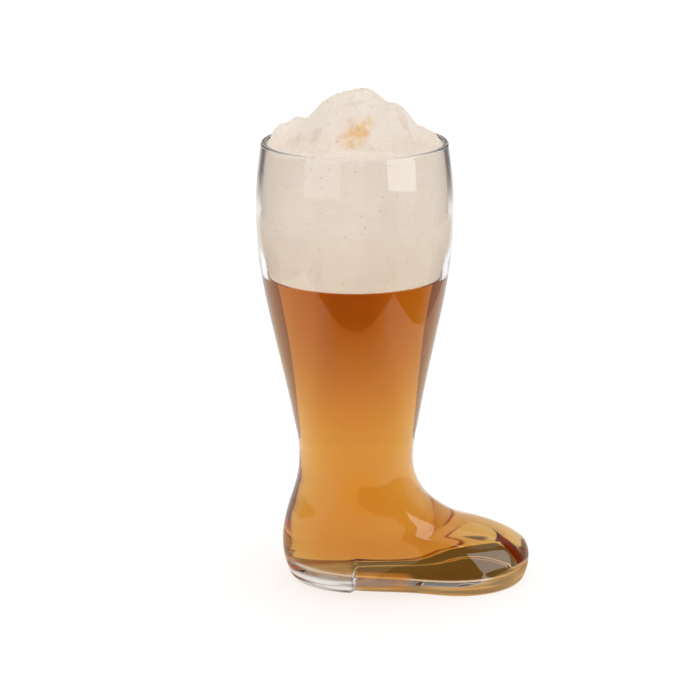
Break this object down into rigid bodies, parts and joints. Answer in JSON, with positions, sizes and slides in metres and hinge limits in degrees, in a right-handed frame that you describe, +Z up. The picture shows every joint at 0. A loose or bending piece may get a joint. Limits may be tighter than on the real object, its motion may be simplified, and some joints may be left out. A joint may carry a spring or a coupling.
{
  "type": "beer boot glass",
  "caption": "Boot-shaped blown drinking glass with a thick heel, filled with amber beer under a heaped head of foam; stands on its heel and sole.",
  "frame": {"origin": "on the resting plane, under the middle of the bounding box", "axes": "+Z up out of the mouth, +X towards the toe, XZ is the mirror plane"},
  "size_m": [0.152, 0.1066, 0.2775],
  "materials": {
    "clear_glass": "polished",
    "beer": "gloss",
    "foam": "matte"
  },
  "bodies": {
    "root": {"boot_glass": "clear_glass", "beer": "beer", "foam_head": "foam"}
  },
  "joints": []
}
